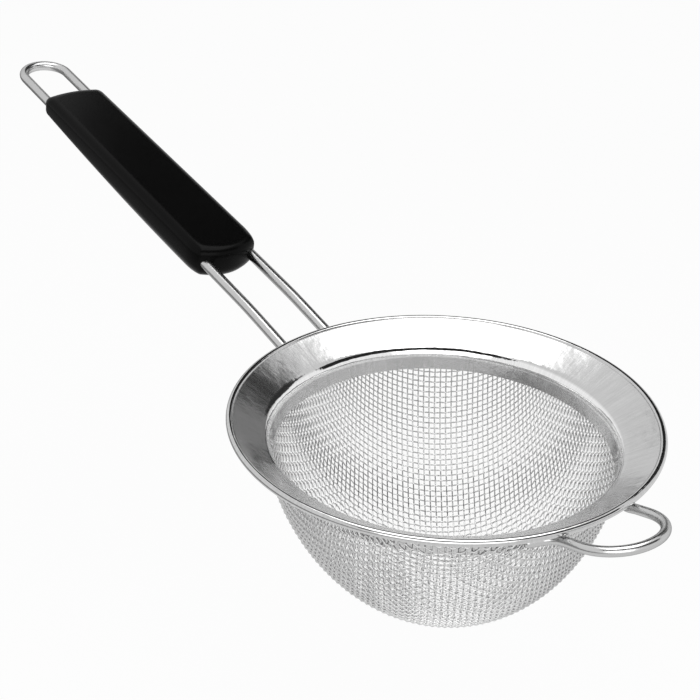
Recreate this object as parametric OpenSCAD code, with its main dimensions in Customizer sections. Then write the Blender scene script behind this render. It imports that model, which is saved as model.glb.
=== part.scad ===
// Hand-held round strainer for sifting flour: a woven wire bowl in a flanged steel ring,
// with a bent rod handle, a moulded grip and a rest loop opposite the handle.
// The origin is the centre of the ring, level with the middle of its rolled bead.
// +Z is up along the axis of the bowl, and +X points from the handle to the rest loop.

/* [Rim ring] */
// Outer diameter over the rolled bead
rim_d = 112; // [90:1:180]
// Diameter of the rolled bead
bead_d = 1.9; // [1.4:0.1:3]
// Thickness of the ring's sheet
sheet_t = 0.45; // [0.3:0.05:0.6]
// Slope of the flange from the level
flange_slope = 31; // [20:1:40]
// Radius of the bend between flange and collar, on its concave side
bend_r = 2.55; // [1:0.05:4]
// Level distance from the edge of the bead to the collar
flange_w = 10.4; // [8:0.1:16]
// Height of the collar below the bend
collar_h = 3.6; // [3:0.1:8]

/* [Woven bowl] */
// Depth of the bowl below the top edge of the cloth
bowl_depth = 49.7; // [40:0.1:60]
// Height of the centre of the bowl's oval over the top edge of the cloth
oval_lift = 9; // [2:0.5:15]
// Diameter of the wires
wire_d = 0.32; // [0.2:0.02:0.6]
// Distance from wire to wire along the cloth
mesh_pitch = 1.6; // [1.2:0.1:5]
// Turn of the cloth from the handle's direction
cloth_turn = 52.2; // [0:0.1:90]
// Place of the last wire on each side, as a share of the mouth's radius
last_wire_share = 0.985; // [0.9:0.005:0.985]

/* [Handle] */
// Diameter of the handle's rod
rod_d = 3.3; // [2.5:0.1:5]
// Distance between the centres of the two rails
rail_spacing = 15.9; // [12:0.1:20]
// Rise of the rails where they leave the collar
neck_rise = 15.6; // [8:0.1:25]
// Rise of the rails through the grip
handle_rise = 12.5; // [0:0.1:20]
// Level distance from the edge of the ring to the bend in the rails
knee_out = 24; // [15:0.5:40]
// Radius of the bend in the rails
knee_r = 200; // [20:5:300]
// Length of the rails from their bend to the end of the loop
handle_l = 157.5; // [120:0.5:220]
// Radius of the bend from rail to welded foot
foot_bend_r = 5; // [3:0.5:8]
// Length of each welded foot along the collar
foot_l = 12; // [6:0.5:25]

/* [Grip] */
// Length of the grip
grip_l = 109.2; // [80:0.5:140]
// Distance along the rails from their bend to the grip
grip_start = 21.6; // [12:0.5:40]
// Width of the grip at its front end
grip_w = 22.6; // [21:0.2:34]
// Width of the grip at its back end
grip_back_w = 22.4; // [20.8:0.2:30]
// Thickness of the grip
grip_t = 11.4; // [8:0.2:20]
// Height of the grip's middle over the rails
grip_lift = -0.4; // [-2:0.1:2]
// Bulge of the front end, seen from above
grip_nose = 4; // [1:0.5:8]
// Bulge of the back end, seen from above
grip_tail = 1.6; // [0.6:0.2:5]
// Radius at the four corners, seen from above
grip_corner_r = 3.5; // [2:0.5:8]
// Radius along the upper edges
grip_top_r = 3; // [1.5:0.5:5]
// Radius along the lower edges
grip_under_r = 4.6; // [1.5:0.1:5.5]
// Clearance of each bore around its rail
bore_gap = 0.05; // [0.02:0.01:0.2]

/* [Rest loop] */
// Diameter of the loop's wire
ear_d = 2.5; // [1.8:0.1:3.5]
// Distance between the centres of the loop's legs
ear_w = 22.6; // [16:0.2:34]
// Reach of the loop's centre line past the edge of the ring
ear_reach = 13.5; // [7:0.5:25]
// Rise of the loop from the level
ear_rise = 15; // [0:0.5:25]
// Radius at the outer corners of the loop
ear_tip_r = 11; // [4:0.5:11.5]
// Radius of the bend from leg to welded foot
ear_bend_r = 4; // [3:0.5:6]
// Length of each welded foot along the flange
ear_foot_l = 9; // [5:0.5:20]

/* [Fits] */
// Gap of the cloth to the collar, and of welded pieces to what they lie on
weld_gap = 0.05; // [0.02:0.01:0.2]
// Gap between the two layers of wires where they cross
weave_gap = 0.06; // [0.02:0.01:0.2]

/* [Hidden] */
steel = [0.78, 0.79, 0.8];
wire_steel = [0.7, 0.71, 0.72];
grip_black = [0.06, 0.06, 0.065];
$fn = 48;
rim_facets = 180;
wire_facets = 12;

// Ring profile, in the plane of radius and height
rim_r = rim_d / 2;
bead_r = bead_d / 2;
bead_centre_r = rim_r - bead_r;
bead_mid_r = bead_r - sheet_t / 2;
collar_r = rim_r - flange_w;
collar_mid_r = collar_r - sheet_t / 2;
bend_mid_r = bend_r + sheet_t / 2;
bend_centre_r = collar_mid_r + bend_mid_r;
bend_z = (sin(flange_slope) * (bend_centre_r - bead_centre_r) - bend_mid_r) / cos(flange_slope);
flange_l = (bead_centre_r - bend_centre_r + bend_mid_r * sin(flange_slope)) / cos(flange_slope) - bead_mid_r;

// Bowl: a sphere cut off below its centre and stretched upright, so every wire in it is an arc
mouth_z = bend_z - weld_gap;
mouth_r = collar_r + weld_gap + wire_d / 2;
oval_half_h = bowl_depth + oval_lift;
oval_r = mouth_r / sqrt(1 - pow(oval_lift / oval_half_h, 2));
oval_stretch = oval_half_h / oval_r;
mouth_drop = oval_lift / oval_stretch;
layer_step = wire_d + weave_gap;
cloth_r = (oval_r + oval_half_h) / 2;
last_wire = floor(PI / 180 * asin(last_wire_share * mouth_r / oval_r) * cloth_r / mesh_pitch);
function oval_out(r, below_mouth) = sqrt(pow(r, 2) - pow(mouth_drop + below_mouth / oval_stretch, 2));
collar_taper = mouth_r - oval_out(oval_r, collar_h);
cloth_outer_r = oval_out(oval_r + layer_step + wire_d / 2, collar_h / 2);

// Handle: welded feet round the collar, a neck, a bend, two rails and the loop
foot_r = cloth_outer_r + weld_gap + rod_d / 2;
foot_z = bend_z - collar_h / 2;
rail_y = rail_spacing / 2;
foot_turn = 180 / PI * foot_l / foot_r;
neck_room = 1.2;
neck_turn = asin((rail_y + foot_bend_r * neck_room) / foot_r);
neck_x = foot_r * cos(neck_turn) + (foot_r * sin(neck_turn) - rail_y) * tan(neck_turn);
knee_x = rim_r + knee_out;
knee_z = foot_z + (knee_x - neck_x) * tan(neck_rise);
rail_along = [-cos(handle_rise), 0, sin(handle_rise)];
function on_rail(along, y) = [-knee_x, y, knee_z] + along * rail_along;

// Rest loop: under the bead and the flange
function flange_z(r) = (r - bead_centre_r) * tan(flange_slope);
ear_leg_z = -bead_r - ear_d / 2 - weld_gap;
ear_foot_r = bead_centre_r - bead_r - ear_d;
ear_foot_z = flange_z(ear_foot_r) - (sheet_t / 2 + ear_d / 2 + weld_gap) / cos(flange_slope);
ear_foot_turn = 180 / PI * ear_foot_l / ear_foot_r;
ear_neck_turn = asin((ear_w / 2 + ear_bend_r) / ear_foot_r);
ear_neck_in = ear_foot_r * sin(ear_neck_turn) - ear_w / 2;
ear_neck_x = ear_foot_r * cos(ear_neck_turn) + ear_neck_in * tan(ear_neck_turn);

// A round wire swept along straight lines between points, with a round bend at each inner point
wire_sides = 18;
bend_step = 10;
function unit(v) = v / norm(v);
function turn_between(u, v) = acos(unit(u) * unit(v));
function polar(r, angle, z) = [r * cos(angle), r * sin(angle), z];
function bend_rings(before, corner, after, r) =
    let (
        u = unit(corner - before),
        v = unit(after - corner),
        turn = turn_between(u, v),
        inward = unit(v - u * (u * v)),
        start = corner - u * r * tan(turn / 2),
        steps = max(2, ceil(turn / bend_step))
    )
    [for (i = [0 : steps])
        let (a = turn * i / steps)
        [start + r * (u * sin(a) + inward * (1 - cos(a))), u * cos(a) + inward * sin(a)]];
function path_rings(points, radii) =
    let (last = len(points) - 1)
    [
        [points[0], unit(points[1] - points[0])],
        for (i = [1 : last - 1]) each bend_rings(points[i - 1], points[i], points[i + 1], radii[i]),
        [points[last], unit(points[last] - points[last - 1])]
    ];
function ring_points(ring, d) =
    let (side = unit(cross(ring[1], [0, 0, 1])), top = cross(side, ring[1]))
    [for (k = [0 : wire_sides - 1])
        let (a = 360 * k / wire_sides)
        ring[0] + d / 2 * (side * cos(a) + top * sin(a))];

module bent_wire(points, radii, d) {
    rings = path_rings(points, radii);
    n = wire_sides;
    last = (len(rings) - 1) * n;
    skin = [
        for (i = [0 : len(rings) - 2], k = [0 : n - 1])
            let (a = i * n + k, b = i * n + (k + 1) % n)
            each [[a, b, b + n], [a, b + n, a + n]]
    ];
    caps = [
        for (k = [1 : n - 2]) each [[0, k + 1, k], [last, last + k, last + k + 1]]
    ];
    polyhedron([for (ring = rings) each ring_points(ring, d)], concat(skin, caps));
}

// Ring: a sheet profile turned about the axis
// All that lies under a sheet surface at distance r from the bend's centre, run past the sheet's ends
module under_sheet(r, past) {
    circle(r = r);
    rotate(flange_slope) translate([0, -past]) square([flange_l + past, r + past]);
    polygon([[-r, 0], [-r - collar_taper, -collar_h], [-r - collar_taper, -collar_h - past],
        [past, -collar_h - past], [past, 0]]);
}

module rim_profile() {
    translate([bend_centre_r, bend_z]) difference() {
        under_sheet(bend_r + sheet_t, 0);
        under_sheet(bend_r, 2 * (bend_r + sheet_t));
    }
    translate([bead_centre_r, 0]) difference() {
        circle(r = bead_r);
        circle(r = bead_r - sheet_t);
    }
}

module rim_ring() {
    color(steel) rotate_extrude($fn = rim_facets) rim_profile();
}

// One wire of the cloth: the sphere cut by an upright plane
module cloth_wire(offset, sphere_r) {
    arc_r = sqrt(pow(sphere_r, 2) - pow(offset, 2));
    arc_end = asin(mouth_drop / arc_r);
    translate([offset, 0, 0]) rotate([90, 0, 90]) rotate(180 + arc_end)
        rotate_extrude(angle = 180 - 2 * arc_end) translate([arc_r, 0]) circle(d = wire_d, $fn = wire_facets);
}

module cloth_layer(sphere_r) {
    translate([0, 0, mouth_z + oval_lift]) scale([1, 1, oval_stretch])
        for (k = [-last_wire : last_wire])
            cloth_wire(sphere_r * sin(180 / PI * k * mesh_pitch / cloth_r), sphere_r);
}

module mesh_warp_wires() {
    color(wire_steel) rotate(cloth_turn) cloth_layer(oval_r);
}

module mesh_weft_wires() {
    color(wire_steel) rotate(cloth_turn + 90) cloth_layer(oval_r + layer_step);
}

// Handle: one rod from foot to foot
function handle_side(side) = [
    polar(foot_r, 180 - side * (neck_turn + foot_turn), foot_z),
    polar(foot_r / cos(foot_turn / 2), 180 - side * (neck_turn + foot_turn / 2), foot_z),
    [-neck_x, side * rail_y, foot_z],
    on_rail(0, side * rail_y),
    on_rail(handle_l, side * rail_y)
];
function reversed(list) = [for (i = [len(list) - 1 : -1 : 0]) list[i]];
handle_radii = [0, foot_r, foot_bend_r, knee_r, rail_y];

module handle_frame() {
    color(steel) bent_wire(
        concat(handle_side(1), reversed(handle_side(-1))),
        concat(handle_radii, reversed(handle_radii)), rod_d);
}

// Grip: one hull of level slices, drawn in towards the upper and the lower edges, and bored for the rails
edge_step = 22.5;
slice = 0.01;

module grip_end(w, bulge) {
    r = (pow(w / 2, 2) + pow(bulge, 2)) / (2 * bulge);
    intersection() {
        translate([r, 0]) circle(r = r, $fn = 2 * $fn);
        translate([0, -w / 2]) square([bulge, w]);
    }
}

module grip_slice(height, inset) {
    translate([0, 0, height]) linear_extrude(slice, center = true)
        offset(delta = -inset) offset(r = grip_corner_r) offset(delta = -grip_corner_r) hull() {
            grip_end(grip_w, grip_nose);
            translate([grip_l, 0]) mirror([1, 0]) grip_end(grip_back_w, grip_tail);
        }
}

module grip_body() {
    hull() for (a = [0 : edge_step : 90]) {
        grip_slice(grip_t / 2 - grip_top_r * (1 - sin(a)), grip_top_r * (1 - cos(a)));
        grip_slice(-grip_t / 2 + grip_under_r * (1 - sin(a)), grip_under_r * (1 - cos(a)));
    }
}

module handle_grip() {
    color(grip_black) translate(on_rail(grip_start, 0)) rotate([0, -handle_rise, 180]) difference() {
        translate([0, 0, grip_lift]) grip_body();
        for (side = [-1, 1])
            translate([-rod_d, side * rail_y, 0]) rotate([0, 90, 0])
                cylinder(d = rod_d + 2 * bore_gap, h = grip_l + 2 * rod_d);
    }
}

// Rest loop: one wire from foot to foot
function ear_side(side) = [
    polar(ear_foot_r, side * (ear_neck_turn + ear_foot_turn), ear_foot_z),
    polar(ear_foot_r / cos(ear_foot_turn / 2), side * (ear_neck_turn + ear_foot_turn / 2), ear_foot_z),
    [ear_neck_x, side * ear_w / 2, ear_foot_z],
    [bead_centre_r, side * ear_w / 2, ear_leg_z],
    [rim_r + ear_reach, side * ear_w / 2, ear_leg_z + (ear_reach + bead_r) * tan(ear_rise)]
];
ear_radii = [0, ear_foot_r, ear_bend_r, ear_bend_r, ear_tip_r];

module front_ear() {
    color(steel) bent_wire(
        concat(ear_side(1), reversed(ear_side(-1))),
        concat(ear_radii, reversed(ear_radii)), ear_d);
}

rim_ring();
mesh_warp_wires();
mesh_weft_wires();
handle_frame();
handle_grip();
front_ear();
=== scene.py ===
import math

import bmesh
import bpy
from mathutils import Matrix, Vector


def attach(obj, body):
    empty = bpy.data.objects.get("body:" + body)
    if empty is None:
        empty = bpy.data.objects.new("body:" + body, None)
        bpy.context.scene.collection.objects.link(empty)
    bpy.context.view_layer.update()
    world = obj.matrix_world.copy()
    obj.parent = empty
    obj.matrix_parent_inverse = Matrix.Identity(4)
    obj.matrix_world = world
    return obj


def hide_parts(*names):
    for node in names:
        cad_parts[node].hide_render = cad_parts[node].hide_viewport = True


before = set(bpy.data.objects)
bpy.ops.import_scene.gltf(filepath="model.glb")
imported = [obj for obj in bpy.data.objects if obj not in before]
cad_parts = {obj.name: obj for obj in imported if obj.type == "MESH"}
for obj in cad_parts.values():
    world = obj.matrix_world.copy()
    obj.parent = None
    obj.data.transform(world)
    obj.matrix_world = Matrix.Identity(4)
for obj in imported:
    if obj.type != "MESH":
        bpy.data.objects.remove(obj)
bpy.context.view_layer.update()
scene = bpy.context.scene


# Camera, at the photograph's viewing angle: on the rest loop's side, about 38 degrees off the line
# of the handle, looking down on the ring by about 28 degrees.
CAMERA_TURN = math.radians(52.216)
CAMERA_TILT = math.radians(90.0 - 27.962)
CAMERA_ROLL = math.radians(1.772)

camera = bpy.data.objects.new("camera", bpy.data.cameras.new("camera"))
camera.data.lens = 67.48
camera.data.sensor_width = 36.0
camera.location = (0.21349, -0.19696, 0.17143)
camera.rotation_euler = (
    Matrix.Rotation(CAMERA_TURN, 3, "Z")
    @ Matrix.Rotation(CAMERA_TILT, 3, "X")
    @ Matrix.Rotation(CAMERA_ROLL, 3, "Z")
).to_euler()
camera.data.clip_start = 0.01
scene.collection.objects.link(camera)
scene.camera = camera


# Rim ring: one strip of stainless sheet, pressed into a collar and a sloping flange, with its outer
# edge rolled into a bead. The flange is ground and slightly dented, its edges are polished, and the
# cloth is welded round the collar. A painted highlight lightens the colour along the bend into the collar.
MM = 0.001
SHEET = 0.45 * MM
BEAD_CENTRE_R = 55.05 * MM
BEAD_R = 0.95 * MM
BEND_CENTRE_R = 48.15 * MM
BEND_Z = -7.383 * MM
BEND_R = 3.0 * MM
COLLAR_H = 3.6 * MM
COLLAR_TAPER = 0.53 * MM
FLANGE_SLOPE = math.radians(31.0)
FLANGE_IN_R = BEND_CENTRE_R - BEND_R * math.sin(FLANGE_SLOPE)
FLANGE_OUT_R = BEAD_CENTRE_R - BEAD_R / 2
FLANGE_HALF_W = (FLANGE_OUT_R - FLANGE_IN_R) / 2
BEND_TOP_Z = BEND_Z + BEND_R * math.cos(FLANGE_SLOPE)
# How much the colour is lightened along the bend: a painted highlight.
BEND_PAINTED_HIGHLIGHT = 0.3
GRAIN_AROUND = 80.0
GRAIN_UPRIGHT = 220.0
RING_STEPS = 240
BEND_STEPS = 14
BEAD_SIDES = 24
SAME_SPOT = 1e-7


def extrude_tip(bm, tip, place):
    made = bmesh.ops.extrude_vert_indiv(bm, verts=[tip])["verts"][0]
    made.co = place
    return made


def spin_tip(bm, tip, centre, angle, steps):
    made = bmesh.ops.spin(bm, geom=[tip], cent=centre, axis=(0.0, 1.0, 0.0), angle=angle, steps=steps)
    return [part for part in made["geom_last"] if isinstance(part, bmesh.types.BMVert)][0]


def place_piece(name, mesh):
    piece = bpy.data.objects.new(name, mesh)
    scene.collection.objects.link(piece)
    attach(piece, "root")
    return piece


def finish_piece(bm, name, material, sharp_angle=40.0):
    mesh = bpy.data.meshes.new(name)
    bm.to_mesh(mesh)
    bm.free()
    mesh.shade_smooth()
    mesh.set_sharp_from_angle(angle=math.radians(sharp_angle))
    mesh.materials.append(material)
    return place_piece(name, mesh)


def new_material(name):
    material = bpy.data.materials.new(name)
    material.use_nodes = True
    tree = material.node_tree
    return material, tree.nodes, tree.links, tree.nodes["Principled BSDF"]


# Polish of drawn or ground steel: fine lines and slow clouds. Each material scales or stretches
# the vector that goes in.
polish_lines = bpy.data.node_groups.new("polish_lines", "ShaderNodeTree")
polish_lines.interface.new_socket("Vector", in_out="INPUT", socket_type="NodeSocketVector")
polish_lines.interface.new_socket("Dull", in_out="INPUT", socket_type="NodeSocketFloat")
polish_lines.interface.new_socket("Spread", in_out="INPUT", socket_type="NodeSocketFloat")
polish_lines.interface.new_socket("Roughness", in_out="OUTPUT", socket_type="NodeSocketFloat")
polish_lines.interface.new_socket("Height", in_out="OUTPUT", socket_type="NodeSocketFloat")
group_in = polish_lines.nodes.new("NodeGroupInput")
group_out = polish_lines.nodes.new("NodeGroupOutput")
line_noise = polish_lines.nodes.new("ShaderNodeTexNoise")
line_noise.inputs["Scale"].default_value = 1.0
line_noise.inputs["Detail"].default_value = 4.0
line_noise.inputs["Roughness"].default_value = 0.65
cloud_noise = polish_lines.nodes.new("ShaderNodeTexNoise")
cloud_noise.inputs["Scale"].default_value = 0.12
cloud_noise.inputs["Detail"].default_value = 2.0
both = polish_lines.nodes.new("ShaderNodeMath")
both.operation = "ADD"
centred = polish_lines.nodes.new("ShaderNodeMath")
centred.operation = "SUBTRACT"
centred.inputs[1].default_value = 1.0
spread = polish_lines.nodes.new("ShaderNodeMath")
spread.operation = "MULTIPLY_ADD"
polish_lines.links.new(group_in.outputs["Vector"], line_noise.inputs["Vector"])
polish_lines.links.new(group_in.outputs["Vector"], cloud_noise.inputs["Vector"])
polish_lines.links.new(line_noise.outputs["Fac"], both.inputs[0])
polish_lines.links.new(cloud_noise.outputs["Fac"], both.inputs[1])
polish_lines.links.new(both.outputs["Value"], centred.inputs[0])
polish_lines.links.new(centred.outputs["Value"], spread.inputs[0])
polish_lines.links.new(group_in.outputs["Spread"], spread.inputs[1])
polish_lines.links.new(group_in.outputs["Dull"], spread.inputs[2])
polish_lines.links.new(spread.outputs["Value"], group_out.inputs["Roughness"])
polish_lines.links.new(line_noise.outputs["Fac"], group_out.inputs["Height"])


def polish_grain(nodes, dull, spread):
    grain = nodes.new("ShaderNodeGroup")
    grain.node_tree = polish_lines
    grain.inputs["Dull"].default_value = dull
    grain.inputs["Spread"].default_value = spread
    return grain


ring_steel, nodes, links, shader = new_material("ring_steel")
shader.inputs["Specular Tint"].default_value = (0.9, 0.9, 0.9, 1.0)
shader.inputs["Metallic"].default_value = 1.0
place = nodes.new("ShaderNodeTexCoord")
level = nodes.new("ShaderNodeVectorMath")
level.operation = "MULTIPLY"
level.inputs[1].default_value = (1.0, 1.0, 0.0)
outward = nodes.new("ShaderNodeVectorMath")
outward.operation = "NORMALIZE"
around = nodes.new("ShaderNodeVectorMath")
around.operation = "SCALE"
around.inputs["Scale"].default_value = GRAIN_AROUND
along = nodes.new("ShaderNodeVectorMath")
along.operation = "MULTIPLY"
along.inputs[1].default_value = (0.0, 0.0, GRAIN_UPRIGHT)
streak = nodes.new("ShaderNodeVectorMath")
streak.operation = "ADD"
grain = polish_grain(nodes, 0.2, 0.16)
tone = nodes.new("ShaderNodeMapRange")
tone.inputs["From Min"].default_value = 0.3
tone.inputs["From Max"].default_value = 0.7
tone.inputs["To Min"].default_value = 0.58
tone.inputs["To Max"].default_value = 0.68
bump = nodes.new("ShaderNodeBump")
bump.inputs["Strength"].default_value = 0.06
bump.inputs["Distance"].default_value = 0.0002
reach = nodes.new("ShaderNodeVectorMath")
reach.operation = "LENGTH"
off_middle = nodes.new("ShaderNodeMath")
off_middle.operation = "SUBTRACT"
off_middle.inputs[1].default_value = (FLANGE_IN_R + FLANGE_OUT_R) / 2
to_edge = nodes.new("ShaderNodeMath")
to_edge.operation = "ABSOLUTE"
gloss = nodes.new("ShaderNodeMapRange")
gloss.inputs["From Min"].default_value = FLANGE_HALF_W - 0.4 * MM
gloss.inputs["From Max"].default_value = FLANGE_HALF_W + 0.1 * MM
gloss.inputs["To Min"].default_value = 1.0
gloss.inputs["To Max"].default_value = 0.35
dull = nodes.new("ShaderNodeMath")
dull.operation = "MULTIPLY"
height = nodes.new("ShaderNodeSeparateXYZ")
off_bend = nodes.new("ShaderNodeMath")
off_bend.operation = "SUBTRACT"
off_bend.inputs[1].default_value = (BEND_Z + BEND_TOP_Z) / 2
from_bend = nodes.new("ShaderNodeMath")
from_bend.operation = "ABSOLUTE"
# Painted highlight: the base colour is lightened in a band along the bend between flange and collar.
bend_highlight_mask = nodes.new("ShaderNodeMapRange")
bend_highlight_mask.inputs["From Min"].default_value = 0.9 * MM
bend_highlight_mask.inputs["From Max"].default_value = 1.4 * MM
bend_highlight_mask.inputs["To Min"].default_value = 1.0
bend_highlight_mask.inputs["To Max"].default_value = 0.0
painted_bend_highlight = nodes.new("ShaderNodeMath")
painted_bend_highlight.operation = "MULTIPLY_ADD"
painted_bend_highlight.inputs[1].default_value = BEND_PAINTED_HIGHLIGHT
dent = nodes.new("ShaderNodeTexNoise")
dent.inputs["Scale"].default_value = 130.0
dent.inputs["Detail"].default_value = 3.0
wave = nodes.new("ShaderNodeBump")
wave.inputs["Strength"].default_value = 0.5
wave.inputs["Distance"].default_value = 0.0004
links.new(place.outputs["Object"], dent.inputs["Vector"])
links.new(dent.outputs["Fac"], wave.inputs["Height"])
links.new(wave.outputs["Normal"], bump.inputs["Normal"])
links.new(place.outputs["Object"], level.inputs[0])
links.new(level.outputs["Vector"], outward.inputs[0])
links.new(outward.outputs["Vector"], around.inputs[0])
links.new(place.outputs["Object"], along.inputs[0])
links.new(around.outputs["Vector"], streak.inputs[0])
links.new(along.outputs["Vector"], streak.inputs[1])
links.new(streak.outputs["Vector"], grain.inputs["Vector"])
links.new(level.outputs["Vector"], reach.inputs[0])
links.new(reach.outputs["Value"], off_middle.inputs[0])
links.new(off_middle.outputs["Value"], to_edge.inputs[0])
links.new(to_edge.outputs["Value"], gloss.inputs["Value"])
links.new(grain.outputs["Roughness"], dull.inputs[0])
links.new(gloss.outputs["Result"], dull.inputs[1])
links.new(dull.outputs["Value"], shader.inputs["Roughness"])
links.new(grain.outputs["Height"], tone.inputs["Value"])
links.new(place.outputs["Object"], height.inputs["Vector"])
links.new(height.outputs["Z"], off_bend.inputs[0])
links.new(off_bend.outputs["Value"], from_bend.inputs[0])
links.new(from_bend.outputs["Value"], bend_highlight_mask.inputs["Value"])
links.new(bend_highlight_mask.outputs["Result"], painted_bend_highlight.inputs[0])
links.new(tone.outputs["Result"], painted_bend_highlight.inputs[2])
links.new(painted_bend_highlight.outputs["Value"], shader.inputs["Base Color"])
links.new(grain.outputs["Height"], bump.inputs["Height"])
links.new(bump.outputs["Normal"], shader.inputs["Normal"])

flange_along = Vector((math.cos(FLANGE_SLOPE), 0.0, math.sin(FLANGE_SLOPE)))
flange_up = Vector((-math.sin(FLANGE_SLOPE), 0.0, math.cos(FLANGE_SLOPE)))
bend_centre = Vector((BEND_CENTRE_R, 0.0, BEND_Z))
bead_centre = Vector((BEAD_CENTRE_R, 0.0, 0.0))

bm = bmesh.new()
tip = bm.verts.new((BEND_CENTRE_R - BEND_R - COLLAR_TAPER, 0.0, BEND_Z - COLLAR_H))
tip = extrude_tip(bm, tip, (BEND_CENTRE_R - BEND_R, 0.0, BEND_Z))
tip = spin_tip(bm, tip, bend_centre, math.pi / 2 - FLANGE_SLOPE, BEND_STEPS)
extrude_tip(bm, tip, bead_centre + flange_up * SHEET / 2 - flange_along * BEAD_R / 2)
bmesh.ops.spin(bm, geom=bm.verts[:] + bm.edges[:], cent=(0.0, 0.0, 0.0), axis=(0.0, 0.0, 1.0),
               angle=math.tau, steps=RING_STEPS, use_merge=True)
bmesh.ops.remove_doubles(bm, verts=bm.verts[:], dist=SAME_SPOT)
bmesh.ops.recalc_face_normals(bm, faces=bm.faces[:])
bmesh.ops.solidify(bm, geom=bm.faces[:], thickness=SHEET)
upright = Matrix.Translation(bead_centre) @ Matrix.Rotation(math.pi / 2, 4, "X")
bead = bmesh.ops.create_circle(bm, segments=BEAD_SIDES, radius=BEAD_R, matrix=upright)["verts"]
bead_edges = list({edge for corner in bead for edge in corner.link_edges})
bmesh.ops.spin(bm, geom=bead + bead_edges, cent=(0.0, 0.0, 0.0), axis=(0.0, 0.0, 1.0),
               angle=math.tau, steps=RING_STEPS, use_merge=True)
bmesh.ops.remove_doubles(bm, verts=bm.verts[:], dist=SAME_SPOT)
bmesh.ops.recalc_face_normals(bm, faces=bm.faces[:])
rim_ring = finish_piece(bm, "ring_sheet", ring_steel, 50.0)
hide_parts("rim_ring")


# Woven bowl: a plain weave of bright stainless wire, pressed from flat cloth into a deep bowl.
# The cloth keeps its pitch along both sets of wires and shears between them towards the ring, and
# the bowl leans a little to one side.
WIRE = 0.4 * MM
WARP_HEAVE = 0.06 * MM
WEFT_HEAVE = 0.34 * MM
WARP_STEP = 1.62 * MM
WEFT_STEP = 1.53 * MM
CLOTH_TURN = math.radians(52.2)
MOUTH_Z = -7.433 * MM
OVAL_R = 46.55 * MM
OVAL_HALF_H = 58.94 * MM
OVAL_Z = 1.567 * MM
BOWL_LEAN = 2.2 * MM
LEAN_POWER = 1.5
SEEK_ROUNDS = 6


def off_bowl(spot):
    share = Vector((spot.x / OVAL_R, spot.y / OVAL_R, (spot.z - OVAL_Z) / OVAL_HALF_H))
    slope = Vector((share.x / OVAL_R, share.y / OVAL_R, share.z / OVAL_HALF_H))
    return (share.length - 1.0) * share.length / slope.length, slope.normalized()


def next_crossing(warp_neighbour, weft_neighbour, behind):
    spot = warp_neighbour + weft_neighbour - behind
    for _ in range(SEEK_ROUNDS):
        gap, normal = off_bowl(spot)
        along_warp = spot - warp_neighbour
        along_weft = spot - weft_neighbour
        slopes = Matrix((normal, along_warp.normalized(), along_weft.normalized()))
        errors = Vector((gap, along_warp.length - WEFT_STEP, along_weft.length - WARP_STEP))
        spot = spot - slopes.inverted() @ errors
    return spot


def first_wire(heading, step):
    spots = [Vector((0.0, 0.0, OVAL_Z - OVAL_HALF_H))]
    across = heading.cross(Vector((0.0, 0.0, 1.0)))
    while spots[-1].z < MOUTH_Z:
        spot = spots[-1] + heading * step
        for _ in range(SEEK_ROUNDS):
            gap, normal = off_bowl(spot)
            along = spot - spots[-1]
            slopes = Matrix((normal, across, along.normalized()))
            spot = spot - slopes.inverted() @ Vector((gap, 0.0, along.length - step))
        heading = (spot - spots[-1]).normalized()
        spots.append(spot)
    return spots


middle_weft = first_wire(Vector((1.0, 0.0, 0.0)), WARP_STEP)
middle_warp = first_wire(Vector((0.0, 1.0, 0.0)), WEFT_STEP)
warp_count = len(middle_weft) - 2
weft_count = len(middle_warp) - 2
crossings = {(i, 0): spot for i, spot in enumerate(middle_weft)}
crossings.update({(0, j): spot for j, spot in enumerate(middle_warp)})
for i in range(1, warp_count + 1):
    for j in range(1, weft_count + 1):
        below = crossings.get((i, j - 1))
        beside = crossings.get((i - 1, j))
        if below is None or beside is None or max(below.z, beside.z) > MOUTH_Z:
            break
        crossings[i, j] = next_crossing(below, beside, crossings[i - 1, j - 1])


def crossing(i, j):
    spot = crossings.get((abs(i), abs(j)))
    if spot is None:
        return None
    return Vector((math.copysign(spot.x, i), math.copysign(spot.y, j), spot.z))


def woven_line(spots, first_up, heave):
    line = []
    for k, spot in enumerate(spots):
        if line:
            middle = (spot + spots[k - 1]) / 2
            gap, normal = off_bowl(middle)
            line.append(middle - normal * gap)
        gap, normal = off_bowl(spot)
        line.append(spot + normal * (heave if (k + first_up) % 2 else -heave))
    for spot in line:
        sunk = max(MOUTH_Z - spot.z, 0.0) / (MOUTH_Z - OVAL_Z + OVAL_HALF_H)
        spot.x += BOWL_LEAN * sunk ** LEAN_POWER
    return line


def drawn_wires(name, lines):
    curve = bpy.data.curves.new(name, "CURVE")
    curve.dimensions = "3D"
    curve.bevel_depth = WIRE / 2
    curve.bevel_resolution = 1
    curve.use_fill_caps = True
    for line in lines:
        spline = curve.splines.new("POLY")
        spline.points.add(len(line) - 1)
        for point, spot in zip(spline.points, line):
            point.co = (spot.x, spot.y, spot.z, 1.0)
    drawn = bpy.data.objects.new(name, curve)
    mesh = bpy.data.meshes.new_from_object(drawn)
    bpy.data.objects.remove(drawn)
    mesh.transform(Matrix.Rotation(CLOTH_TURN, 4, "Z"))
    mesh.materials.clear()
    mesh.materials.append(wire_steel)
    mesh.shade_smooth()
    return place_piece(name, mesh)


def up_to_mouth(spots):
    kept = [spot for spot in spots if spot is not None]
    return [spot for spot in kept if spot.z <= MOUTH_Z]


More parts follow.
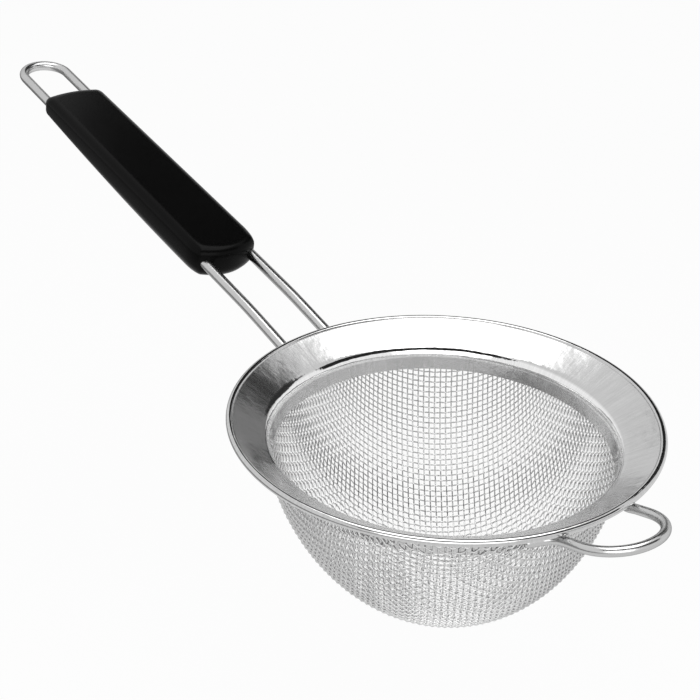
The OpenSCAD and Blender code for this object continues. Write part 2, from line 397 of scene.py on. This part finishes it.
wire_steel, nodes, links, shader = new_material("wire_steel")
shader.inputs["Base Color"].default_value = (0.68, 0.68, 0.68, 1.0)
shader.inputs["Specular Tint"].default_value = (0.95, 0.95, 0.95, 1.0)
shader.inputs["Metallic"].default_value = 1.0
place = nodes.new("ShaderNodeTexCoord")
fine = nodes.new("ShaderNodeVectorMath")
fine.operation = "SCALE"
fine.inputs["Scale"].default_value = 900.0
grain = polish_grain(nodes, 0.2, 0.1)
links.new(place.outputs["Object"], fine.inputs[0])
links.new(fine.outputs["Vector"], grain.inputs["Vector"])
links.new(grain.outputs["Roughness"], shader.inputs["Roughness"])

warp_places = range(-warp_count - 1, warp_count + 2)
weft_places = range(-weft_count - 1, weft_count + 2)
warp_lines = []
for i in warp_places[1:-1]:
    spots = up_to_mouth([crossing(i, j) for j in weft_places])
    first = next(j for j in weft_places if crossing(i, j) in spots)
    warp_lines.append(woven_line(spots, i + first, WARP_HEAVE))
weft_lines = []
for j in weft_places[1:-1]:
    spots = up_to_mouth([crossing(i, j) for i in warp_places])
    first = next(i for i in warp_places if crossing(i, j) in spots)
    weft_lines.append(woven_line(spots, first + j + 1, WEFT_HEAVE))
warp_wires = drawn_wires("warp_wires", [line for line in warp_lines if len(line) > 2])
weft_wires = drawn_wires("weft_wires", [line for line in weft_lines if len(line) > 2])
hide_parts("mesh_warp_wires")
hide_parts("mesh_weft_wires")


# Handle rod: one polished stainless rod bent into a hairpin. Its two feet are welded along the
# collar under the flange, and its closed end comes out behind the grip as a hanging loop.
ROD = 3.3 * MM
RAIL_Y = 7.95 * MM
FOOT_R = 47.816 * MM
FOOT_Z = -9.183 * MM
FOOT_TURN = math.radians(14.38)
FOOT_BEND_R = 5.0 * MM
KNEE_BEND_R = 200.0 * MM
NECK_ROOM = 6.0 * MM
NECK_RISE = math.radians(15.6)
NECK_TURN = math.asin((RAIL_Y + NECK_ROOM) / FOOT_R)
NECK_X = FOOT_R * math.cos(NECK_TURN) + (FOOT_R * math.sin(NECK_TURN) - RAIL_Y) * math.tan(NECK_TURN)
KNEE_X = 80.0 * MM
KNEE_Z = FOOT_Z + (KNEE_X - NECK_X) * math.tan(NECK_RISE)
HANDLE_RISE = math.radians(12.5)
HANDLE_L = 157.5 * MM
ROD_SIDES = 28
DEGREES_A_STEP = 5.0
LEAST_RUN = 0.01 * MM
END_ROUNDING = 0.3
rail_along = Vector((-math.cos(HANDLE_RISE), 0.0, math.sin(HANDLE_RISE)))


def round_spot(radius, angle, height):
    return Vector((radius * math.cos(angle), radius * math.sin(angle), height))


def extrude_rim(bm, rim, move):
    made = bmesh.ops.extrude_edge_only(bm, edges=rim)["geom"]
    ends = [part for part in made if isinstance(part, bmesh.types.BMVert)]
    bmesh.ops.translate(bm, vec=move, verts=ends)
    return [part for part in made if isinstance(part, bmesh.types.BMEdge)]


def bent_rod(corners, bend_radii, diameter):
    bm = bmesh.new()
    heading = (corners[1] - corners[0]).normalized()
    stand = Matrix.Translation(corners[0]) @ heading.to_track_quat("Z", "Y").to_matrix().to_4x4()
    bmesh.ops.create_circle(bm, segments=ROD_SIDES, radius=diameter / 2, matrix=stand)
    rim = bm.edges[:]
    reached = corners[0]
    for before, corner, after, radius in zip(corners, corners[1:], corners[2:], bend_radii):
        heading = (corner - before).normalized()
        turn = heading.angle(after - corner)
        axis = heading.cross(after - corner).normalized()
        start = corner - heading * radius * math.tan(turn / 2)
        if (start - reached).length > LEAST_RUN:
            rim = extrude_rim(bm, rim, start - reached)
        centre = start + axis.cross(heading) * radius
        steps = max(3, math.ceil(math.degrees(turn) / DEGREES_A_STEP))
        made = bmesh.ops.spin(bm, geom=rim, cent=centre, axis=axis, angle=turn, steps=steps)
        rim = [part for part in made["geom_last"] if isinstance(part, bmesh.types.BMEdge)]
        reached = centre + Matrix.Rotation(turn, 3, axis) @ (start - centre)
    extrude_rim(bm, rim, corners[-1] - reached)
    bmesh.ops.remove_doubles(bm, verts=bm.verts[:], dist=SAME_SPOT)
    ends = [edge for edge in bm.edges if edge.is_boundary]
    bmesh.ops.holes_fill(bm, edges=ends, sides=0)
    bmesh.ops.recalc_face_normals(bm, faces=bm.faces[:])
    bmesh.ops.bevel(bm, geom=ends, offset=diameter * END_ROUNDING, affect="EDGES", segments=4,
                    profile=0.5, material=-1)
    return bm


def handle_side(side):
    knee = Vector((-KNEE_X, side * RAIL_Y, KNEE_Z))
    return [
        round_spot(FOOT_R, math.pi - side * (NECK_TURN + FOOT_TURN), FOOT_Z),
        round_spot(FOOT_R / math.cos(FOOT_TURN / 2),
                   math.pi - side * (NECK_TURN + FOOT_TURN / 2), FOOT_Z),
        Vector((-NECK_X, side * RAIL_Y, FOOT_Z)),
        knee,
        knee + rail_along * HANDLE_L,
    ]


rod_steel, nodes, links, shader = new_material("rod_steel")
shader.inputs["Base Color"].default_value = (0.62, 0.62, 0.62, 1.0)
shader.inputs["Specular Tint"].default_value = (0.5, 0.5, 0.5, 1.0)
shader.inputs["Metallic"].default_value = 1.0
place = nodes.new("ShaderNodeTexCoord")
stretch = nodes.new("ShaderNodeVectorMath")
stretch.operation = "MULTIPLY"
stretch.inputs[1].default_value = (120.0, 2500.0, 2500.0)
grain = polish_grain(nodes, 0.22, 0.1)
links.new(place.outputs["Object"], stretch.inputs[0])
links.new(stretch.outputs["Vector"], grain.inputs["Vector"])
links.new(grain.outputs["Roughness"], shader.inputs["Roughness"])

bends = [FOOT_R, FOOT_BEND_R, KNEE_BEND_R, RAIL_Y]
handle_rod = finish_piece(
    bent_rod(handle_side(1) + handle_side(-1)[::-1], bends + bends[::-1], ROD), "handle_rod", rod_steel)
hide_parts("handle_frame")


# Grip: a satin black plastic bar moulded round both rails, with a nearly flat top, a bellied
# underside, soft long edges and rounded ends. It is thinner at the back.
GRIP_START = 21.6 * MM
GRIP_L = 109.2 * MM
GRIP_FRONT_W = 22.2 * MM
GRIP_BACK_W = 22.0 * MM
GRIP_T = 11.4 * MM
GRIP_LIFT = -0.4 * MM
GRIP_NOSE = 4.0 * MM
GRIP_TAIL = 1.6 * MM
GRIP_NOSE_CORNER = 6.0 * MM
GRIP_TAIL_CORNER = 2.6 * MM
GRIP_TOP_R = 3.0 * MM
GRIP_UNDER_R = 4.6 * MM
GRIP_THIN_TOP = 0.18
GRIP_THIN_UNDER = 0.5
GRIP_BELLY = 0.34
GRIP_EDGE_STEPS = 6
GRIP_LID_RIM = 0.5 * MM

grip_plastic, nodes, links, shader = new_material("grip_plastic")
shader.inputs["Base Color"].default_value = (0.003, 0.003, 0.003, 1.0)
shader.inputs["Specular IOR Level"].default_value = 0.06
place = nodes.new("ShaderNodeTexCoord")
cloud = nodes.new("ShaderNodeTexNoise")
cloud.inputs["Scale"].default_value = 60.0
cloud.inputs["Detail"].default_value = 3.0
sheen = nodes.new("ShaderNodeMapRange")
sheen.inputs["To Min"].default_value = 0.18
sheen.inputs["To Max"].default_value = 0.27
speckle = nodes.new("ShaderNodeTexNoise")
speckle.inputs["Scale"].default_value = 2600.0
speckle.inputs["Detail"].default_value = 2.0
bump = nodes.new("ShaderNodeBump")
bump.inputs["Strength"].default_value = 0.12
bump.inputs["Distance"].default_value = 0.0001
links.new(place.outputs["Object"], cloud.inputs["Vector"])
links.new(place.outputs["Object"], speckle.inputs["Vector"])
links.new(cloud.outputs["Fac"], sheen.inputs["Value"])
links.new(sheen.outputs["Result"], shader.inputs["Roughness"])
links.new(speckle.outputs["Fac"], bump.inputs["Height"])
links.new(bump.outputs["Normal"], shader.inputs["Normal"])

bm = bmesh.new()
bmesh.ops.create_grid(bm, x_segments=1, y_segments=14, size=0.5)
for spot in bm.verts:
    front = spot.co.x > 0
    bulge = GRIP_NOSE if front else GRIP_TAIL
    width = GRIP_FRONT_W if front else GRIP_BACK_W
    end = GRIP_L / 2 - bulge * 4.0 * spot.co.y ** 2
    spot.co = (math.copysign(end, spot.co.x), spot.co.y * width, 0.0)
bmesh.ops.dissolve_faces(bm, faces=bm.faces[:])
for sign, radius in ((1.0, GRIP_NOSE_CORNER), (-1.0, GRIP_TAIL_CORNER)):
    corners = [spot for spot in bm.verts
               if abs(spot.co.y) > 0.49 * GRIP_BACK_W and spot.co.x * sign > 0.3 * GRIP_L]
    bmesh.ops.bevel(bm, geom=corners, offset=radius, affect="VERTICES", segments=8,
                    profile=0.5, material=-1)
edge_turns = [math.radians(90.0 / GRIP_EDGE_STEPS * k) for k in range(GRIP_EDGE_STEPS + 1)]
levels = [(GRIP_UNDER_R * (1.0 - math.sin(turn)) - GRIP_T / 2, GRIP_UNDER_R * (1.0 - math.cos(turn)))
          for turn in edge_turns[::-1]]
levels += [(GRIP_T / 2 - GRIP_TOP_R * (1.0 - math.sin(turn)), GRIP_TOP_R * (1.0 - math.cos(turn)))
           for turn in edge_turns]
levels.insert(0, (levels[0][0], levels[0][1] + GRIP_LID_RIM))
levels.append((levels[-1][0], levels[-1][1] + GRIP_LID_RIM))
bmesh.ops.delete(bm, geom=bm.faces[:], context="FACES_ONLY")
sides = [edge for edge in bm.edges if edge.calc_length() > GRIP_L / 2]
bmesh.ops.subdivide_edges(bm, edges=sides, cuts=15)
rim = bm.edges[:]
for k, (height, inset) in enumerate(levels):
    if k:
        rim = extrude_rim(bm, rim, Vector((0.0, 0.0, 0.0)))
    ring = list({end for edge in rim for end in edge.verts})
    before = levels[k - 1][1] if k else 0.0
    narrow = (GRIP_L - 2.0 * inset) / (GRIP_L - 2.0 * before)
    slim = (GRIP_BACK_W - 2.0 * inset) / (GRIP_BACK_W - 2.0 * before)
    for spot in ring:
        spot.co = (spot.co.x * narrow, spot.co.y * slim, height)
bmesh.ops.holes_fill(bm, edges=[edge for edge in bm.edges if edge.is_boundary], sides=0)
for spot in bm.verts:
    back = 0.5 - spot.co.x / GRIP_L
    if spot.co.z < 0:
        spot.co.z *= 1.0 - GRIP_THIN_UNDER * back + GRIP_BELLY * 4.0 * back * (1.0 - back)
    else:
        spot.co.z *= 1.0 - GRIP_THIN_TOP * back
bmesh.ops.recalc_face_normals(bm, faces=bm.faces[:])
grip_middle = Vector((-KNEE_X, 0.0, KNEE_Z)) + rail_along * (GRIP_START + GRIP_L / 2)
grip_up = Vector((math.sin(HANDLE_RISE), 0.0, math.cos(HANDLE_RISE)))
bmesh.ops.transform(
    bm, matrix=Matrix.Translation(grip_middle + grip_up * GRIP_LIFT) @ Matrix.Rotation(HANDLE_RISE, 4, "Y"),
    verts=bm.verts[:])
grip = finish_piece(bm, "grip", grip_plastic, 60.0)
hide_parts("handle_grip")


# Rest loop: a short polished stainless wire, bent into a round loop that lies on the edge of a
# bowl. Its two feet are welded under the flange.
EAR_WIRE = 2.5 * MM
EAR_Y = 11.3 * MM
EAR_FOOT_R = 51.6 * MM
EAR_FOOT_Z = -3.852 * MM
EAR_FOOT_TURN = math.radians(3.0)
EAR_BEND_R = 4.0 * MM
EAR_LOOP_R = 11.0 * MM
EAR_RISE = math.radians(15.0)
EAR_NECK_TURN = math.asin((EAR_Y + EAR_BEND_R) / EAR_FOOT_R)
EAR_NECK_X = (EAR_FOOT_R * math.cos(EAR_NECK_TURN)
              + (EAR_FOOT_R * math.sin(EAR_NECK_TURN) - EAR_Y) * math.tan(EAR_NECK_TURN))
EAR_LEG_Z = -2.25 * MM
EAR_TIP_X = 69.5 * MM
EAR_TIP_Z = EAR_LEG_Z + (EAR_TIP_X - BEAD_CENTRE_R) * math.tan(EAR_RISE)


def ear_side(side):
    return [
        round_spot(EAR_FOOT_R, side * (EAR_NECK_TURN + EAR_FOOT_TURN), EAR_FOOT_Z),
        round_spot(EAR_FOOT_R / math.cos(EAR_FOOT_TURN / 2),
                   side * (EAR_NECK_TURN + EAR_FOOT_TURN / 2), EAR_FOOT_Z),
        Vector((EAR_NECK_X, side * EAR_Y, EAR_FOOT_Z)),
        Vector((BEAD_CENTRE_R, side * EAR_Y, EAR_LEG_Z)),
        Vector((EAR_TIP_X, side * EAR_Y, EAR_TIP_Z)),
    ]


bends = [EAR_FOOT_R, EAR_BEND_R, EAR_BEND_R, EAR_LOOP_R]
rest_loop = finish_piece(
    bent_rod(ear_side(1) + ear_side(-1)[::-1], bends + bends[::-1], EAR_WIRE), "rest_loop", rod_steel)
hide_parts("front_ear")


# Floor, and the room's light: a pale floor under the object, a soft box overhead, another in front
# and a white room. Five grey boards, hidden from the camera, give the steel something to mirror,
# and the floor is darker in the steel than to the camera, with painted shade towards the front and the
# left.
FLOOR_Z = -120.0 * MM
FLOOR_HALF_W = 6.0
FLOOR_GLOW = 0.94
ROOM_LIGHT = 0.55
ROOM_IN_STEEL = 0.32
ROOM_IN_VIEW = 0.42
FRONT_BOX_TILT = math.radians(63.0)
FRONT_BOX_REACH = 0.9
BOARD_REACH = 0.7
to_camera = Matrix.Rotation(CAMERA_TURN, 3, "Z")


def stage_sheet(bm, name, paint):
    mesh = bpy.data.meshes.new(name)
    bm.to_mesh(mesh)
    bm.free()
    mesh.materials.append(paint)
    sheet = bpy.data.objects.new(name, mesh)
    scene.collection.objects.link(sheet)
    return sheet


def soft_box(name, width, height, watts):
    box = bpy.data.objects.new(name, bpy.data.lights.new(name, "AREA"))
    box.data.shape = "RECTANGLE"
    box.data.size = width
    box.data.size_y = height
    box.data.energy = watts
    scene.collection.objects.link(box)
    return box


floor_paint, nodes, links, shader = new_material("floor_paint")
nodes.remove(shader)
matt = nodes.new("ShaderNodeBsdfDiffuse")
matt.inputs["Color"].default_value = (0.85, 0.85, 0.85, 1.0)
glow = nodes.new("ShaderNodeEmission")
path = nodes.new("ShaderNodeLightPath")
seen = nodes.new("ShaderNodeMath")
seen.operation = "MAXIMUM"
share = nodes.new("ShaderNodeMath")
share.operation = "MULTIPLY"
share.inputs[1].default_value = FLOOR_GLOW
place = nodes.new("ShaderNodeTexCoord")
# Painted shade in the floor as the steel mirrors it: darker towards the front and towards the left.
depth = nodes.new("ShaderNodeVectorMath")
depth.operation = "DOT_PRODUCT"
depth.inputs[1].default_value = (-math.sin(CAMERA_TURN), math.cos(CAMERA_TURN), 0.0)
front_shade = nodes.new("ShaderNodeMapRange")
front_shade.inputs["From Min"].default_value = -0.32
front_shade.inputs["From Max"].default_value = 0.3
front_shade.inputs["To Min"].default_value = 0.8
front_shade.inputs["To Max"].default_value = 1.0
across = nodes.new("ShaderNodeVectorMath")
across.operation = "DOT_PRODUCT"
across.inputs[1].default_value = (math.cos(CAMERA_TURN), math.sin(CAMERA_TURN), 0.0)
shade = nodes.new("ShaderNodeMapRange")
shade.inputs["From Min"].default_value = -0.3
shade.inputs["From Max"].default_value = -0.18
shade.inputs["To Min"].default_value = 0.3
shaded = nodes.new("ShaderNodeMath")
shaded.operation = "MULTIPLY"
mirrored = nodes.new("ShaderNodeMix")
mirrored.inputs["A"].default_value = 1.0
mix = nodes.new("ShaderNodeMixShader")
links.new(path.outputs["Is Camera Ray"], seen.inputs[0])
links.new(path.outputs["Is Glossy Ray"], seen.inputs[1])
links.new(seen.outputs["Value"], share.inputs[0])
links.new(place.outputs["Object"], depth.inputs[0])
links.new(depth.outputs["Value"], front_shade.inputs["Value"])
links.new(path.outputs["Is Glossy Ray"], mirrored.inputs["Factor"])
links.new(place.outputs["Object"], across.inputs[0])
links.new(across.outputs["Value"], shade.inputs["Value"])
links.new(front_shade.outputs["Result"], shaded.inputs[0])
links.new(shade.outputs["Result"], shaded.inputs[1])
links.new(shaded.outputs["Value"], mirrored.inputs["B"])
links.new(mirrored.outputs["Result"], glow.inputs["Strength"])
links.new(share.outputs["Value"], mix.inputs["Fac"])
links.new(matt.outputs["BSDF"], mix.inputs[1])
links.new(glow.outputs["Emission"], mix.inputs[2])
links.new(mix.outputs["Shader"], nodes["Material Output"].inputs["Surface"])

bm = bmesh.new()
bmesh.ops.create_grid(bm, x_segments=1, y_segments=1, size=FLOOR_HALF_W,
                      matrix=Matrix.Translation((0.0, 0.0, FLOOR_Z)))
stage_sheet(bm, "floor", floor_paint)

room = bpy.data.worlds.new("room")
room.use_nodes = True
nodes = room.node_tree.nodes
links = room.node_tree.links
path = nodes.new("ShaderNodeLightPath")
mirrored = nodes.new("ShaderNodeMath")
mirrored.operation = "MULTIPLY_ADD"
mirrored.inputs[1].default_value = ROOM_IN_STEEL
mirrored.inputs[2].default_value = ROOM_LIGHT
strength = nodes.new("ShaderNodeMath")
strength.operation = "MULTIPLY_ADD"
strength.inputs[1].default_value = ROOM_IN_VIEW
links.new(path.outputs["Is Glossy Ray"], mirrored.inputs[0])
links.new(path.outputs["Is Camera Ray"], strength.inputs[0])
links.new(mirrored.outputs["Value"], strength.inputs[2])
links.new(strength.outputs["Value"], nodes["Background"].inputs["Strength"])
nodes["Background"].inputs["Color"].default_value = (1.0, 1.0, 1.0, 1.0)
scene.world = room

overhead = soft_box("overhead_box", 0.7, 0.68, 2.9)
overhead.location = to_camera @ Vector((0.05, 0.09, 0.75))
overhead.rotation_euler = (0.0, 0.0, CAMERA_TURN)

front = soft_box("front_box", 1.0, 0.62, 2.5)
front_turn = Matrix.Rotation(CAMERA_TURN, 4, "Z") @ Matrix.Rotation(FRONT_BOX_TILT, 4, "X")
front.matrix_world = front_turn @ Matrix.Translation((0.0, 0.0, FRONT_BOX_REACH))


def board(name, azimuth, elevation, width, height, grey, tilt=0.0):
    paint, _, _, shader = new_material(name)
    shader.inputs["Base Color"].default_value = (grey, grey, grey, 1.0)
    shader.inputs["Roughness"].default_value = 0.9
    shader.inputs["Specular IOR Level"].default_value = 0.0
    out = math.cos(math.radians(elevation))
    aim = Vector((out * math.cos(math.radians(azimuth)), out * math.sin(math.radians(azimuth)),
                  math.sin(math.radians(elevation))))
    spot = to_camera @ aim * BOARD_REACH
    bm = bmesh.new()
    bmesh.ops.create_grid(bm, x_segments=1, y_segments=1, size=0.5)
    bmesh.ops.scale(bm, vec=(width, height, 1.0), verts=bm.verts[:])
    facing = (-spot).to_track_quat("Z", "Y").to_matrix().to_4x4()
    facing = facing @ Matrix.Rotation(math.radians(tilt), 4, "Z")
    bmesh.ops.transform(bm, matrix=Matrix.Translation(spot) @ facing, verts=bm.verts[:])
    made = stage_sheet(bm, name, paint)
    made.visible_camera = False
    made.visible_shadow = False


board("tall_board", 71.5, 12.0, 0.3, 0.2, 0.36, 54.0)
board("dark_board", 48.0, 30.0, 0.36, 0.26, 0.06)
board("back_board", 84.0, 42.0, 0.48, 0.5, 0.03)
board("front_board", -90.0, 58.0, 0.9, 0.34, 0.03)
board("right_board", -22.0, 46.0, 0.7, 0.36, 0.03, 24.5)

scene.view_settings.view_transform = "Standard"
